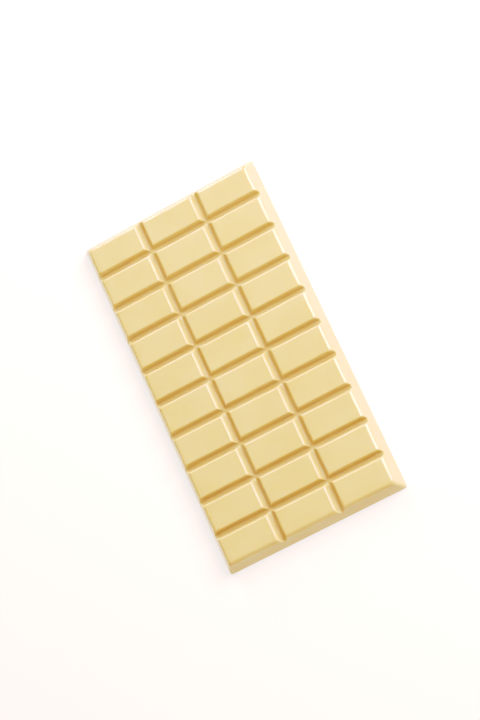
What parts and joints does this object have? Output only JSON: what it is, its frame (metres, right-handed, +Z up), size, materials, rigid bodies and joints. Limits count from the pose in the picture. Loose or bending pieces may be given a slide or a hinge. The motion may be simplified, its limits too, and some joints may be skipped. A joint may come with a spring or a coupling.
{
  "type": "chocolate bar",
  "caption": "Plain moulded white chocolate bar with low rectangular blocks parted by straight rounded grooves, sloping edges and a flat back.",
  "frame": {"origin": "middle of the flat back, which is the underside at rest", "axes": "+Z up out of the moulded face, +Y along the bar's length, +X across its width"},
  "size_m": [0.0802, 0.15, 0.0075],
  "materials": {
    "white_chocolate": "satin"
  },
  "bodies": {
    "root": {"chocolate_bar": "white_chocolate"}
  },
  "joints": []
}
